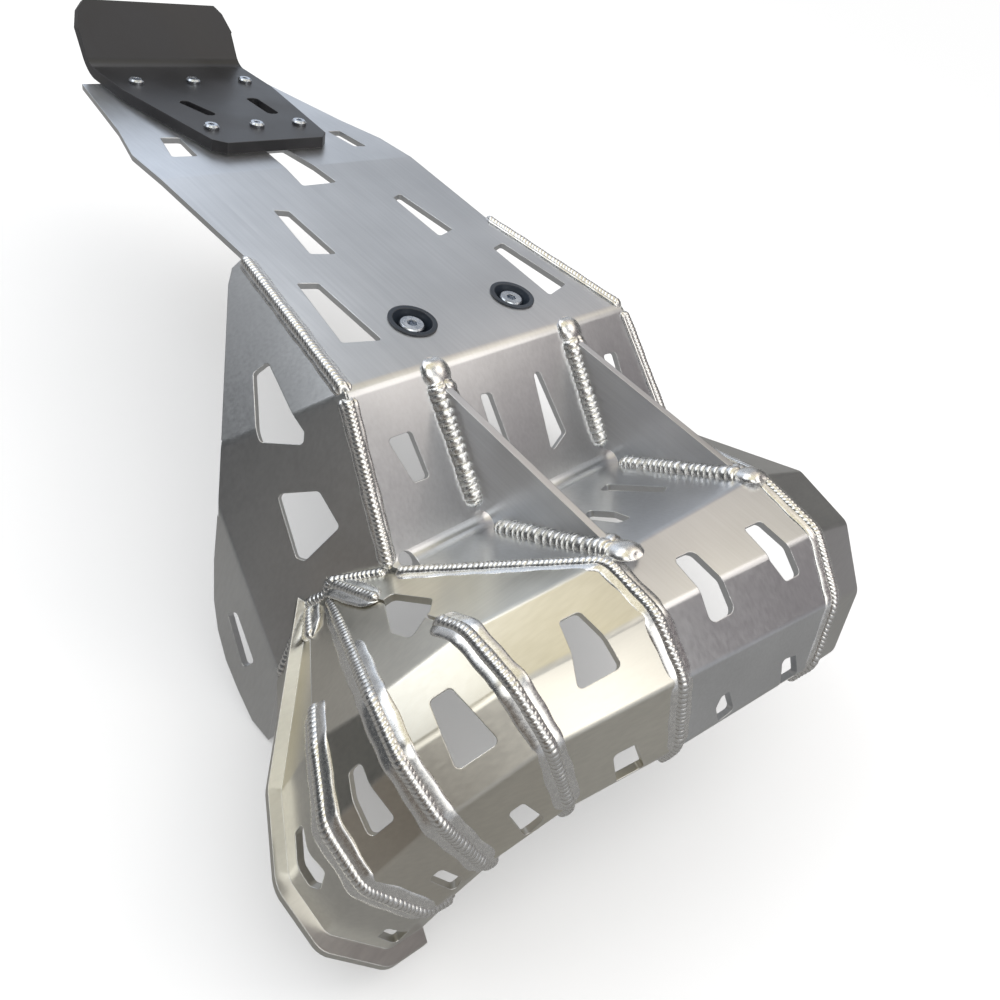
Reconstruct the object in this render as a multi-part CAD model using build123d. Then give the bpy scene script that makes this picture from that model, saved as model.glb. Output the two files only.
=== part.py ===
from build123d import *
import os
import math

os.makedirs("parts", exist_ok=True)

# All sizes are in millimetres. X runs across the plate, +Y to its rear, +Z out of its underside.
# The plate lies upside down, as in the picture, so its underside looks up.
SHEET = 4.0
GAP = 0.2
WELD_GAP = 1.2

# bottom plate and rear section
FRONT_HALF = 120.5
WAIST_HALF = 103.0
WAIST_Y = 130.0
REAR_HALF = 105.0
REAR_BEND_Y = 227.0
REAR_LENGTH = 176.0
REAR_DROP = 5.0
REAR_SHOULDER = 40.0
REAR_END_HALF = 78.0

# front face, which folds down from the plate, and the shelf, which folds back up from it
FACE_ANGLE = 41.4
FACE_LENGTH = 97.6
FACE_END_HALF = 132.5
SHELF_ANGLE = 35.5
MAIN_BEND = 14.0
GUARD_BEND = 10.0

# folded pipe guard: each seam is an open polygon that starts at the shelf's outer bend
GUARD_BEND_ANGLE = 34.0
RIM_WIDTH = 24.0
LIP_WIDTH = 7.0
LIP_THICK = 3.0

# side panels
PANEL_BEND_2 = 30.0
PANEL_BEND_R = 12.0
GUSSET_X = 59.4
GUSSET_SHEET = 5.0
GUSSET_TOP = 8.0
GUSSET_RELIEF = 9.0
GUSSET_END_LEFT = 98.0
GUSSET_END_RIGHT = 102.0

# fasteners
BOLT_HALF = 43.5
BOLT_Y = 39.0
CUP_R = 14.0
CUP_LIP_R = 15.5
CUP_LIP = 1.0
CUP_FLOOR = 3.0
CUP_DEPTH = 9.0
BOLT_R = 4.0
HEAD_R = 8.0
HEAD_TALL = 8.0
HEX_ACROSS = 6.0
BOLT_LONG = 30.0
UNDERCUT = 1.0
MOUNT_STEP = 1.0
SCREW_R = 3.0
SCREW_HEAD_R = 5.5
SCREW_HEAD_TALL = 3.0
NUT_ACROSS = 10.0
SCREW_HEX = 4.0
SCREW_LONG = 22.0
NUT_TALL = 5.0
WASHER_R = 7.0
WASHER_TALL = 1.5
SCREW_FRONT_S = 58.0
SCREW_FRONT_HALF = 37.0
SCREW_REAR_S = 153.0
SCREW_REAR_HALF = 46.5

# linkage guard of black plastic
LINK_THICK = 8.0
LINK_FRONT_S = 30.0
LINK_FRONT_HALF = 48.0
LINK_WIDE_S = 140.0
LINK_WIDE_HALF = 64.0
LINK_FOLD_S = 193.0
LINK_RISE = 46.0
LINK_RISE_ANGLE = 60.0
LINK_TOP_HALF = 60.0
LINK_BEND = 14.0

# weld beads
BEAD_R = 3.8
END_BEAD_R = 3.5
ROOT_DEPTH = 3.2
SLIT_START = 27.0
SLIT_END = 72.0
BEAD_SIDES = 10
BEAD_SINK = 1.5
BEND_SET = 3.0
RIM_GAP = 4.0
GUSSET_BEAD_R = 4.2
BLOB_R = 6.5
BLOB_SIDES = 12
BLOB_RINGS = 6


def rad(a):
    return math.radians(a)


def meet(a, b, c):
    # the point that three planes share; a plane is (normal, distance)
    (n1, c1), (n2, c2), (n3, c3) = a, b, c
    cross = n2.cross(n3) * c1 + n3.cross(n1) * c2 + n1.cross(n2) * c3
    return cross * (1.0 / n1.dot(n2.cross(n3)))


def plane_at(point, normal):
    n = normal.normalized()
    return (n, n.dot(point))


def plane_of(a, b, c, d, like):
    # best plane of a four-cornered facet, turned to the side that "like" points to
    n = (c - a).cross(d - b).normalized()
    if n.dot(like) < 0:
        n = n * -1.0
    m = (a + b + c + d) * 0.25
    return (n, n.dot(m))


def solid_of(top, low):
    faces = [Face(Wire.make_polygon(top, close=True))]
    faces.append(Face(Wire.make_polygon(low, close=True)))
    count = len(top)
    for i in range(count):
        j = (i + 1) % count
        faces.append(Face(Wire.make_polygon([top[i], top[j], low[j], low[i]], close=True)))
    body = Solid(Shell(faces))
    if body.volume < 0:
        body = Solid(Shell([-f for f in faces]))
    return body


def plane_between(a, b):
    # the mitre plane of two facets of one sheet
    n = a[0] - b[0]
    size = n.length
    return (n * (1.0 / size), (a[1] - b[1]) / size)


def through(a, b, c):
    return plane_at(a, (b - a).cross(c - a))


def moved(plane, toward, amount):
    # the plane moved by "amount" to the side where the point "toward" lies
    n, c = plane
    side = 1.0 if n.dot(toward) > c else -1.0
    return (n, c + side * amount)


def bend_planes(a, b, radius, steps, hollow=False):
    # flat strips that stand for the round of a bend; "hollow" when its outer side is concave
    (na, ca), (nb, cb) = a, b
    axis = na.cross(nb).normalized()
    off = radius if hollow else -radius
    q = meet((na, ca + off), (nb, cb + off), (axis, 0.0))
    whole = math.degrees(math.acos(max(-1.0, min(1.0, na.dot(nb)))))
    made = []
    for k in range(1, steps + 1):
        n = na.rotate(Axis((0, 0, 0), axis), whole * k / (steps + 1))
        made.append((n, n.dot(q) - off))
    return made


def prism(points, plane, low, high):
    # a straight-sided body over a flat outline, from "low" to "high" along the plane's normal
    n = plane[0]
    flat = [p + n * (plane[1] - n.dot(p)) for p in points]
    return solid_of([p + n * high for p in flat], [p + n * low for p in flat])


def strip_body(facets, thick=SHEET):
    # facets: list of (plane, before, right, after, left); all bounds are planes
    body = None
    for outer, before, right, after, left in facets:
        n, c = outer
        inner = (n, c - thick)
        top = [meet(outer, left, before), meet(outer, before, right), meet(outer, right, after), meet(outer, after, left)]
        low = [meet(inner, left, before), meet(inner, before, right), meet(inner, right, after), meet(inner, after, left)]
        piece = solid_of(top, low)
        body = piece if body is None else body + piece
    return body


def turned(x, y, z, yaw, roll, pitch):
    # a direction turned about X by pitch, then Y by roll, then Z by yaw
    v = Vector(x, y, z)
    v = v.rotate(Axis.X, pitch)
    v = v.rotate(Axis.Y, roll)
    return v.rotate(Axis.Z, yaw)


# the line of the inner bend, where the front face ends and the shelf begins
FACE_END_Y = -FACE_LENGTH * math.cos(rad(FACE_ANGLE))
FACE_END_Z = -FACE_LENGTH * math.sin(rad(FACE_ANGLE))
FACE_LEFT = Vector(-FACE_END_HALF, FACE_END_Y, FACE_END_Z)
FACE_RIGHT = Vector(FACE_END_HALF, FACE_END_Y, FACE_END_Z)


def seam(corner, yaw, roll, pitch, widths):
    # corner: across the plate, ahead of the inner bend and above it
    ahead = turned(0, -1, 0, yaw, roll, pitch)
    inward = turned(0, 0, -1, yaw, roll, pitch)
    points = [Vector(corner[0], FACE_END_Y - corner[1], FACE_END_Z + corner[2])]
    angle = 0.0
    for w in widths:
        step = ahead * math.cos(rad(angle)) + inward * math.sin(rad(angle))
        points.append(points[-1] + step * w)
        angle += GUARD_BEND_ANGLE
    return points


# seams of the guard from its right-hand end to its left-hand end
RIGHT_END = seam((122.5, 97.3, 47), -26, 12, -5.5, (47.5, 43, 39, RIM_WIDTH))
RIGHT_SEAM = seam((66, 87.5, 62.2), -12, 10, -1.5, (48.5, 40, 42, RIM_WIDTH))
SEAM_3 = seam((-71, 80.6, 57.2), -5.5, -4, -2, (35.5, 35, 44.5, RIM_WIDTH))
SEAM_2 = seam((-150.5, 66.8, 42.5), -3, -17, -4, (34, 32.5, 45, RIM_WIDTH))
SEAM_1 = seam((-196, 63.3, 19.5), -15, -36, 1, (29, 33, 44.5, RIM_WIDTH))
SEAM_0 = seam((-219, 58.8, -7), -45.5, -54.5, 24, (34, 31, 41, RIM_WIDTH))
LEFT_END = seam((-231, 53.3, -46), -54, -60, 32, (40.5, 30, 34.5, RIM_WIDTH))

# inner corners of the gores, where they meet the side panel, from the end of the inner bend
APEX_2 = FACE_LEFT + Vector(-23.5, 19.7, -15.5)
APEX_1 = FACE_LEFT + Vector(-26, 15.7, -20.5)
APEX_0 = FACE_LEFT + Vector(-34.5, 20.7, -28.5)
APEX_END = FACE_LEFT + Vector(-58.5, 6.7, -67)
UP = Vector(0, 0, 1)


def seam_plane(points):
    return through(points[0], points[1], points[3])


def chain(mains, bends, first, last, lefts, rights):
    # a folded strip: main planes joined by rounded bends, with a left and right bound for each
    planes = [mains[0]]
    left = [lefts[0]]
    right = [rights[0]]
    for i in range(1, len(mains)):
        radius, steps, hollow = bends[i - 1]
        for p in bend_planes(mains[i - 1], mains[i], radius, steps, hollow):
            planes.append(p)
            left.append(lefts[i] if lefts[i] is not None else lefts[i - 1])
            right.append(rights[i] if rights[i] is not None else rights[i - 1])
        planes.append(mains[i])
        left.append(lefts[i])
        right.append(rights[i])
    out = []
    for i, p in enumerate(planes):
        before = first if i == 0 else plane_between(planes[i - 1], p)
        after = last if i == len(planes) - 1 else plane_between(p, planes[i + 1])
        out.append([p, before, right[i], after, left[i]])
    return out


def guard_mains(a, b, shelf):
    # the facets between two seams, from the shelf to the hidden rim
    mains = [shelf]
    like = shelf[0]
    for j in range(4):
        p = plane_of(a[j], b[j], b[j + 1], a[j + 1], like)
        mains.append(p)
        like = p[0]
    return mains


def shelf_cut(shelf, second, cut, apex):
    # bound of a shelf facet that meets the next facet's bound exactly
    mitre = plane_between(shelf, second)
    p = meet(shelf, mitre, cut)
    q = meet((shelf[0], shelf[1] - SHEET), mitre, cut)
    return through(p, q, apex)


PLATE = (Vector(0, 0, 1), 0.0)
REAR = plane_at(Vector(0, REAR_BEND_Y, 0), Vector(0, math.sin(rad(REAR_DROP)), math.cos(rad(REAR_DROP))))
FACE = plane_at(Vector(0, 0, 0), Vector(0, -math.sin(rad(FACE_ANGLE)), math.cos(rad(FACE_ANGLE))))
SHELF = plane_at(FACE_LEFT, Vector(0, math.sin(rad(SHELF_ANGLE)), math.cos(rad(SHELF_ANGLE))))
FRONT_LEFT = Vector(-FRONT_HALF, 0, 0)
FRONT_RIGHT = Vector(FRONT_HALF, 0, 0)
MIDDLE = Vector(0, -60, -20)
RIM_BEND = (GUARD_BEND, 3, False)

# main sheet: rear section, bottom plate, front face, shelf and the middle of the guard, one folded blank
mains = guard_mains(SEAM_3, RIGHT_SEAM, SHELF)
mains = [REAR, PLATE, FACE] + mains
cut_l = moved(seam_plane(SEAM_3), MIDDLE, WELD_GAP)
cut_r = moved(seam_plane(RIGHT_SEAM), MIDDLE, WELD_GAP)
first_bend = bend_planes(mains[3], mains[4], GUARD_BEND, 3)[0]
shelf_l = shelf_cut(SHELF, first_bend, cut_l, FACE_LEFT + Vector(WELD_GAP, 0, 0))
shelf_r = shelf_cut(SHELF, first_bend, cut_r, FACE_RIGHT - Vector(WELD_GAP, 0, 0))
wide_l = (Vector(-1, 0, 0), FRONT_HALF)
wide_r = (Vector(1, 0, 0), FRONT_HALF)
face_l = moved(through(FRONT_LEFT, FACE_LEFT, FACE_LEFT + FACE[0] * 10), MIDDLE, WELD_GAP)
face_r = moved(through(FRONT_RIGHT, FACE_RIGHT, FACE_RIGHT + FACE[0] * 10), MIDDLE, WELD_GAP)
lefts = [wide_l, wide_l, face_l, shelf_l] + [cut_l] * 4
rights = [wide_r, wide_r, face_r, shelf_r] + [cut_r] * 4
bends = [(20.0, 1, False), (MAIN_BEND, 5, False), (GUARD_BEND, 6, True)] + [RIM_BEND] * 4
rear_dir = Vector(0, math.cos(rad(REAR_DROP)), -math.sin(rad(REAR_DROP)))
rear_end = plane_at(Vector(0, REAR_BEND_Y, 0) + rear_dir * REAR_LENGTH, rear_dir)
rim_a = SEAM_3[4]
rim_b = RIGHT_SEAM[4]
rim = through(rim_a, rim_b, rim_a + mains[-1][0] * 10)
facets = chain(mains, bends, rear_end, rim, lefts, rights)
sheet = strip_body(facets)


def segment(a, b, apex_a, apex_b, lip=False):
    # one gore of the guard between seams a and b
    inside = (a[2] + b[2] + apex_a + apex_b) * 0.25
    shelf = plane_of(apex_a, apex_b, b[0], a[0], UP)
    if (apex_a - apex_b).length < 12:
        mid = (apex_a + apex_b) * 0.5
        n = (b[0] - a[0]).cross(mid - a[0]).normalized()
        n = n if n.dot(UP) > 0 else n * -1.0
        shelf = (n, n.dot(a[0]))
    parts = guard_mains(a, b, shelf)
    ca = moved(seam_plane(a), inside, WELD_GAP)
    cb = moved(seam_plane(b), inside, WELD_GAP)
    turn = bend_planes(parts[0], parts[1], GUARD_BEND, 3)[0]
    sa = shelf_cut(shelf, turn, ca, apex_a)
    sb = shelf_cut(shelf, turn, cb, apex_b)
    rim = through(a[4], b[4], a[4] + parts[-1][0] * 10)
    inner = through(apex_a, apex_b, apex_a + shelf[0] * 10)
    fs = chain(parts, [RIM_BEND] * 4, inner, rim, [sa] + [ca] * 4, [sb] + [cb] * 4)
    body = strip_body(fs)
    if lip:
        # flat lip round the open end
        wide = [(n, c + LIP_WIDTH) for n, c in parts]
        back = moved(cb, inside, LIP_THICK)
        ring = chain(wide, [(GUARD_BEND + LIP_WIDTH, 3, False)] * 4, inner, rim, [back] * 5, [cb] * 5)
        body = body + strip_body(ring, LIP_WIDTH + SHEET / 2)
    return body, parts, inner


seg_b, planes_b, inner_b = segment(SEAM_3, SEAM_2, FACE_LEFT, APEX_2)
seg_c, planes_c, inner_c = segment(SEAM_2, SEAM_1, APEX_2, APEX_1)
seg_d, planes_d, inner_d = segment(SEAM_1, SEAM_0, APEX_1, APEX_0)
seg_e, planes_e, inner_e = segment(SEAM_0, LEFT_END, APEX_0, APEX_END, True)
APEX_RIGHT = Vector(-APEX_2.X, APEX_2.Y, APEX_2.Z)
seg_r, planes_r, inner_r = segment(RIGHT_SEAM, RIGHT_END, FACE_RIGHT, APEX_RIGHT)


def on_plane(plane, p):
    return p + plane[0] * (plane[1] - plane[0].dot(p))


def bend_line(a, b, p):
    # the point of the line shared by two planes that is nearest to p
    axis = a[0].cross(b[0]).normalized()
    return meet(a, b, (axis, axis.dot(p)))


def rounded_cut(points, normal, radius, depth):
    # a cutter with rounded corners, through the sheet along "normal"
    centre = Vector(0, 0, 0)
    for p in points:
        centre = centre + p * (1.0 / len(points))
    first = points[1] - points[0]
    frame = Plane(origin=centre, x_dir=first - normal * first.dot(normal), z_dir=normal)
    flat = [frame.to_local_coords(p) for p in points]
    wire = Wire.make_polygon([Vector(p.X, p.Y, 0) for p in flat], close=True)
    face = Face(wire)
    face = face.fillet_2d(radius, face.vertices())
    body = Solid.extrude(face, Vector(0, 0, 2 * depth)).moved(Location((0, 0, -depth)))
    return frame.location * body


def bend_slot(up, down, left, right, outline, radius=2.5, depth=26):
    # a slot across a bend; outline in (along the bend, away from it), + on the "up" facet
    a = bend_line(up, down, left)
    b = bend_line(up, down, right)
    along = (b - a).normalized()
    rise = along.cross(up[0])
    rise = rise if rise.dot(down[0]) < 0 else rise * -1.0
    drop = along.cross(down[0])
    drop = drop if drop.dot(up[0]) < 0 else drop * -1.0
    pts = []
    for u, w in outline:
        pts.append(a + along * u + (rise * w if w > 0 else drop * -w))
    return rounded_cut(pts, (up[0] + down[0]).normalized(), radius, depth)


planes_a = mains[3:]

# slots of the guard's middle
cuts_a = [
    bend_slot(planes_a[1], planes_a[2], SEAM_3[1], RIGHT_SEAM[1], [(33, 21), (48, 21), (50, -18), (31, -18)], 4),
    bend_slot(planes_a[1], planes_a[2], SEAM_3[1], RIGHT_SEAM[1], [(89, 20), (104, 20), (106, -17), (93, -17), (87, -3)]),
    bend_slot(planes_a[2], planes_a[3], SEAM_3[2], RIGHT_SEAM[2], [(30, -32), (33, -26), (39, -25), (46, -40), (34, -43)]),
    bend_slot(planes_a[2], planes_a[3], SEAM_3[2], RIGHT_SEAM[2], [(83, -24), (96, -26), (102, -42), (87, -46)]),
]
# slots of the shelf between the gussets: (across, out along the shelf)
shelf_dir = Vector(0, -math.cos(rad(SHELF_ANGLE)), math.sin(rad(SHELF_ANGLE)))
face_dir = Vector(0, -math.cos(rad(FACE_ANGLE)), -math.sin(rad(FACE_ANGLE)))
face_foot = Vector(0, FACE_END_Y, FACE_END_Z)


def on_shelf(x, s):
    return face_foot + Vector(x, 0, 0) + shelf_dir * s


def on_face(x, t):
    return Vector(x, 0, 0) + face_dir * t


def on_rear(x, s, up=0.0):
    return Vector(x, REAR_BEND_Y, 0) + rear_dir * s + REAR[0] * up


for outline in ([(9, 31), (20, 28), (28.5, 68), (20, 71)], [(-20, 46), (-16.5, 62), (-20.5, 77), (-29, 75), (-32, 52)]):
    cuts_a.append(rounded_cut([on_shelf(x, s) for x, s in outline], SHELF[0], 2.5, 12))
FACE_SLOTS = [
    [(-106, 31), (-89, 31), (-87.5, 59), (-99, 58.5)],
    [(-33, 25), (-24, 26), (-22.5, 62), (-34, 62)],
    [(15, 24), (21, 24), (27, 67), (12, 74), (9.5, 72)],
    [(85, 28), (98.5, 29), (98, 54), (87, 57)],
]
for outline in FACE_SLOTS:
    cuts_a.append(rounded_cut([on_face(x, t) for x, t in outline], FACE[0], 2.2, 12))
PLATE_SLOTS = [
    [(88, 96), (75, 92), (73, 30), (97, 36.5)],
    [(54, 176), (44.5, 172), (44, 117), (61, 122)],
]
for outline in PLATE_SLOTS:
    for side in (-1, 1):
        cuts_a.append(rounded_cut([Vector(side * x, y, 0) for x, y in outline], UP, 2.0, 12))
cuts_a.append(rounded_cut([Vector(-8.5, 262, 0), Vector(8.5, 262, 0), Vector(14.5, 201, 0), Vector(-14.5, 201, 0)], UP, 2.0, 12))
cuts_a.append(rounded_cut([on_rear(x, s) for x, s in [(-72, 66), (-58.5, 64), (-62.5, 31), (-80.5, 32.5)]], REAR[0], 2.0, 12))
cuts_a.append(rounded_cut([on_rear(x, s) for x, s in [(66, 60), (77.5, 60), (80, 26), (69, 28)]], REAR[0], 2.0, 12))

# outline of the plate and the rear section
OUTLINE = [
    (FRONT_HALF - WELD_GAP, 0), (WAIST_HALF - WELD_GAP, WAIST_Y), (REAR_HALF, REAR_BEND_Y), (REAR_HALF - 0.5, REAR_BEND_Y + REAR_SHOULDER),
    (94, 309), (86, 356), (REAR_END_HALF, 404), (REAR_END_HALF - 8, 420), (150, 420), (150, 0),
]
for side in (-1, 1):
    pts = [Vector(side * x, y, 0) for x, y in OUTLINE]
    cuts_a.append(prism(pts, PLATE, -40, 20))
# round holes: mount bolts, guard screws, relief holes at the ends of the inner bend
for side in (-1, 1):
    cuts_a.append(Pos(side * BOLT_HALF, BOLT_Y, 0) * Cylinder(CUP_R + GAP, 30))
    cuts_a.append(Plane(origin=on_face(side * 121, FACE_LENGTH - 2), z_dir=FACE[0]).location * Cylinder(5, 30))
SCREWS = [(-SCREW_FRONT_HALF, SCREW_FRONT_S), (0, SCREW_FRONT_S), (SCREW_FRONT_HALF, SCREW_FRONT_S)]
SCREWS += [(-SCREW_REAR_HALF, SCREW_REAR_S), (0, SCREW_REAR_S), (SCREW_REAR_HALF, SCREW_REAR_S)]
for x, s in SCREWS:
    cuts_a.append(Plane(origin=on_rear(x, s), z_dir=REAR[0]).location * Cylinder(SCREW_R + GAP, 40))



def main_solid(shape):
    # the largest solid of a result, without slivers
    return max(shape.solids(), key=lambda s: s.volume)


def cut_all(body, cutters):
    for c in cutters:
        body = body - c
    return main_solid(body)


sheet_body = cut_all(sheet, cuts_a)

# the opening across the seam of gores 1 and 2, measured from that seam's bend
bend_b = bend_line(planes_b[0], planes_b[1], SEAM_2[0])
along_b = (bend_line(planes_b[0], planes_b[1], SEAM_3[0]) - bend_b).normalized()
in_b = along_b.cross(planes_b[0][0])
in_b = in_b if in_b.Y > 0 else in_b * -1.0
seam_opening = [(-15, 58), (-9, 60), (3, 38), (-4, 28), (-19, 21), (-23, 34)]
opening_bc = rounded_cut([bend_b + along_b * u + in_b * w for u, w in seam_opening], planes_b[0][0], 3.0, 25)

gore_b = cut_all(seg_b, [
    bend_slot(planes_b[1], planes_b[2], SEAM_2[1], SEAM_3[1], [(36.5, 17), (48.5, 17), (53.5, -16), (28, -16)]),
    bend_slot(planes_b[3], planes_b[4], SEAM_2[3], SEAM_3[3], [(25, 18), (39, 18), (46, -4), (28, -4)]),
    opening_bc,
])
gore_c = cut_all(seg_c, [
    bend_slot(planes_c[1], planes_c[2], SEAM_1[1], SEAM_2[1], [(23, 14), (34, 14), (40, -18.5), (18, -18.5)]),
    bend_slot(planes_c[2], planes_c[3], SEAM_1[2], SEAM_2[2], [(25.6, -22), (34, -22), (39, -41), (27, -44)]),
    opening_bc,
])
gore_d = cut_all(seg_d, [
    bend_slot(planes_d[1], planes_d[2], SEAM_0[1], SEAM_1[1], [(22.5, 11), (30, 11), (26, -18), (11.5, -17)]),
    bend_slot(planes_d[2], planes_d[3], SEAM_0[2], SEAM_1[2], [(17, -24), (25, -24), (25, -39), (17, -43)]),
])
gore_e = cut_all(seg_e, [
    bend_slot(planes_e[1], planes_e[2], LEFT_END[1], SEAM_0[1], [(20.5, 13), (29, 12.5), (24, -11), (13, -14), (10, -9)]),
    bend_slot(planes_e[3], planes_e[4], LEFT_END[3], SEAM_0[3], [(13, 11), (21, 11), (20, -3), (9, -3)], 2.0),
])
gore_c = main_solid(gore_c - gore_b)
gore_d = main_solid(gore_d - gore_c)
gore_e = main_solid(gore_e - gore_d)
gore_r = main_solid(seg_r)


def facet(outer, points, bounds, thick=SHEET):
    # a flat facet with any outline; a bound left out is a square cut along that side
    n, c = outer
    count = len(points)
    sides = []
    for i in range(count):
        a = points[i]
        b = points[(i + 1) % count]
        sides.append(through(a, b, a + n * 10) if bounds[i] is None else bounds[i])
    top = [meet(outer, sides[i - 1], sides[i]) for i in range(count)]
    low = [meet((n, c - thick), sides[i - 1], sides[i]) for i in range(count)]
    return solid_of(top, low)


# left side panel: upper facet, main facet and lower facet of one folded blank
WELD_START = Vector(-WAIST_HALF, WAIST_Y, 0)
BEND_1_REAR = Vector(-172.3, 31.3, -42.7)
BEND_2_REAR = Vector(-183.8, 12.6, -69.6)
BEND_2_FRONT = Vector(-189.3, -55.6, -122.6)
PANEL_M = through(FRONT_LEFT, FACE_LEFT, APEX_0)
PANEL_M = PANEL_M if PANEL_M[0].Z > 0 else (PANEL_M[0] * -1.0, -PANEL_M[1])
PANEL_U = through(FRONT_LEFT, WELD_START, BEND_1_REAR)
PANEL_U = PANEL_U if PANEL_U[0].Z > 0 else (PANEL_U[0] * -1.0, -PANEL_U[1])
bend_2 = (BEND_2_FRONT - BEND_2_REAR).normalized()
low_n = PANEL_M[0].rotate(Axis((0, 0, 0), bend_2), PANEL_BEND_2)
if low_n.Z > PANEL_M[0].Z:
    low_n = PANEL_M[0].rotate(Axis((0, 0, 0), bend_2), -PANEL_BEND_2)
PANEL_L = plane_at(BEND_2_FRONT, low_n)
plate_side = through(FRONT_LEFT, WELD_START, WELD_START + UP)
face_side = through(FRONT_LEFT, FACE_LEFT, FACE_LEFT + FACE[0] * 10)
panel_mid = Vector(-160, 0, -60)
strips_1 = bend_planes(PANEL_U, PANEL_M, PANEL_BEND_R, 3)
strips_2 = bend_planes(PANEL_M, PANEL_L, PANEL_BEND_R, 3)
edge_1 = through(BEND_1_REAR, BEND_1_REAR + PANEL_U[0] * 10, BEND_2_REAR)
gap_e = moved(inner_e, panel_mid, WELD_GAP)
UPPER_NOSE = WELD_START + Vector(-7.6, -0.5, -5.7)
UPPER_HEEL = WELD_START + Vector(-15, -9.3, -10.5)
upper = facet(PANEL_U, [FRONT_LEFT, WELD_START, UPPER_NOSE, UPPER_HEEL, BEND_1_REAR],
              [plate_side, None, None, None, plane_between(PANEL_U, strips_1[0])])
main_f = facet(PANEL_M, [FRONT_LEFT, BEND_1_REAR, BEND_2_REAR, BEND_2_FRONT, APEX_0, APEX_1, APEX_2, FACE_LEFT],
               [plane_between(PANEL_M, strips_1[-1]), None, plane_between(PANEL_M, strips_2[0]), gap_e,
                moved(inner_d, panel_mid, WELD_GAP), moved(inner_c, panel_mid, WELD_GAP),
                moved(inner_b, panel_mid, WELD_GAP), face_side])
LOW_EDGE = [(-199.5, -76, -174), (-200.8, -60.7, -172.8), (-200.3, -43.9, -163.4), (-199.4, -28.3, -152.8)]
LOW_EDGE += [(-197.6, -15.5, -139.5), (-195, -5.6, -124), (-190.3, 3.7, -100.6)]
low_start = meet(PANEL_L, plane_between(strips_2[-1], PANEL_L), gap_e)
low_pts = [BEND_2_REAR, low_start] + [Vector(*p) for p in LOW_EDGE]
lower = facet(PANEL_L, low_pts, [plane_between(strips_2[-1], PANEL_L)] + [None] * 8)
bodies = [upper]
rear_1 = through(BEND_1_REAR, BEND_2_REAR, BEND_1_REAR + PANEL_M[0] * 10)
run_1 = [PANEL_U] + strips_1 + [PANEL_M]
for i in range(1, 4):
    bodies.append(strip_body([(run_1[i], plane_between(run_1[i - 1], run_1[i]), rear_1,
                               plane_between(run_1[i], run_1[i + 1]), plate_side)]))
bodies.append(main_f)
run_2 = [PANEL_M] + strips_2 + [PANEL_L]
for i in range(1, 4):
    bodies.append(strip_body([(run_2[i], plane_between(run_2[i - 1], run_2[i]), rear_1,
                               plane_between(run_2[i], run_2[i + 1]), gap_e)]))
bodies.append(lower)
panel = bodies[0]
for b in bodies[1:]:
    panel = panel + b
panel = main_solid(panel)
# panel slots: one across the upper bend, one on the main facet, one on the lower facet
along_1 = (BEND_1_REAR - FRONT_LEFT).normalized()
down_1 = along_1.cross(PANEL_M[0])
down_1 = down_1 if down_1.Z < 0 else down_1 * -1.0
slot_1 = bend_slot(PANEL_U, PANEL_M, FRONT_LEFT, BEND_1_REAR, [(49, 37), (39.5, 40.5), (29, -11), (32, -17), (53.6, -7)])
slot_2 = rounded_cut([FRONT_LEFT + along_1 * u + down_1 * v for u, v in [(56, 36), (34, 43), (31, 65), (56, 75), (60, 72)]],
                     PANEL_M[0], 3.0, 12)
up_2 = (BEND_2_REAR - BEND_2_FRONT).normalized()
down_2 = up_2.cross(PANEL_L[0])
down_2 = down_2 if down_2.Z < 0 else down_2 * -1.0
slot_3 = rounded_cut([BEND_2_FRONT + up_2 * u + down_2 * v for u, v in [(29, 25), (28.5, 16), (-1.3, 16.5), (-3.9, 28.5)]],
                     PANEL_L[0], 2.5, 12)
panel = cut_all(panel, [slot_1, slot_2, slot_3, sheet_body])
panel_l = cut_all(panel, [gore_b, gore_c, gore_d, gore_e])
panel_r = cut_all(mirror(panel, about=Plane.YZ), [gore_r, sheet_body])


# gussets, with a relief at the inner bend
def gusset(x, top_t, end_s):
    side = 1 if x > 0 else -1
    a = on_face(x, top_t)
    b = on_shelf(x, end_s)
    body = solid_of([Vector(x + GUSSET_SHEET / 2, p.Y, p.Z) for p in (a, face_foot, b)],
                    [Vector(x - GUSSET_SHEET / 2, p.Y, p.Z) for p in (a, face_foot, b)])
    relief = Plane(origin=Vector(x, FACE_END_Y, FACE_END_Z), z_dir=(1, 0, 0)).location * Cylinder(GUSSET_RELIEF, 30)
    return main_solid(body - relief - sheet_body)


gusset_l = gusset(-GUSSET_X, GUSSET_TOP, GUSSET_END_LEFT)
gusset_r = gusset(GUSSET_X, GUSSET_TOP, GUSSET_END_RIGHT)


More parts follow.
